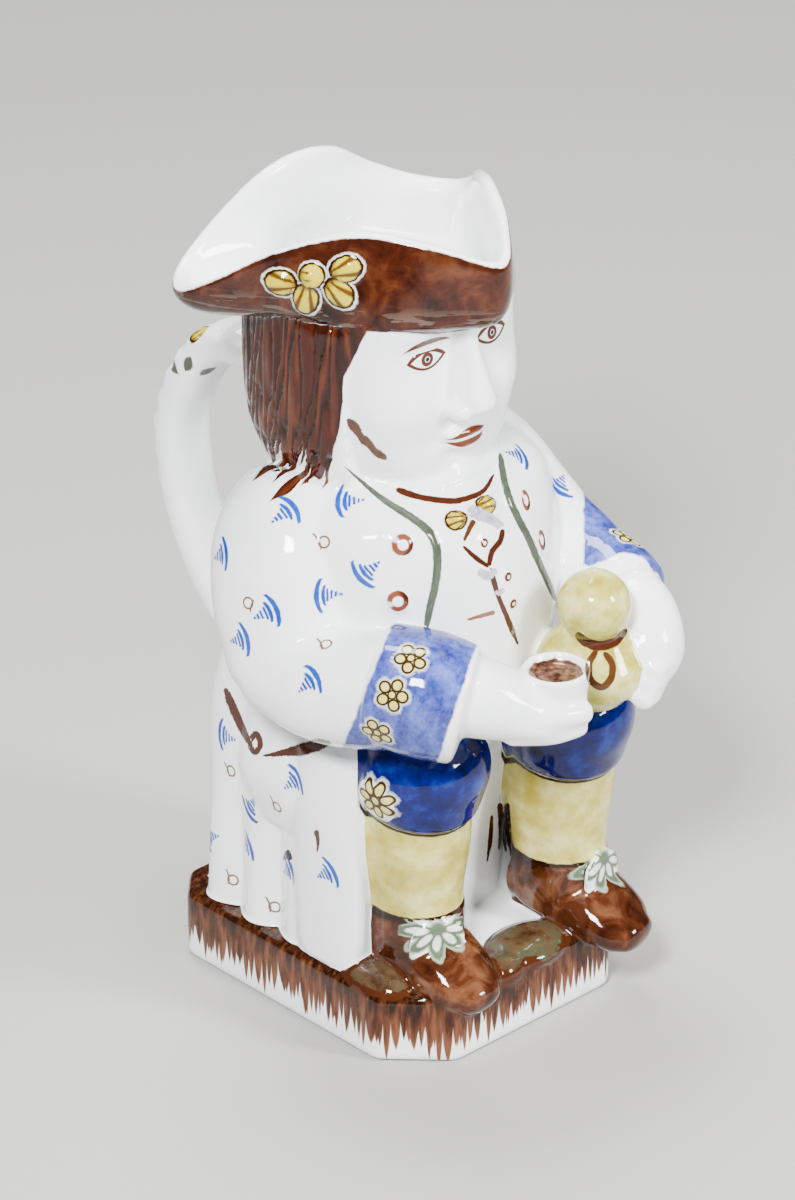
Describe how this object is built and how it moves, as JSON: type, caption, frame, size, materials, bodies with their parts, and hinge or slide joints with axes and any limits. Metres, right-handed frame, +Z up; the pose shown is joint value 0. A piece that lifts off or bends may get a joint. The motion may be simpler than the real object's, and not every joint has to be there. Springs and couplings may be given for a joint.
{
  "type": "toby jug",
  "caption": "Hollow glazed jug shaped as a seated man in a cocked hat whose brim is the mouth, with a loop handle behind and a cut-corner plinth.",
  "frame": {"origin": "on the surface it stands on, below the middle of the whole jug's box", "axes": "+Z up; the figure faces -Y, its right hand is at -X, the handle is at +Y"},
  "size_m": [0.124, 0.185, 0.2521],
  "materials": {
    "glaze": "glossy tin glaze over earthenware, hand painted"
  },
  "bodies": {
    "root": {"toby_jug": "glaze"}
  },
  "joints": []
}
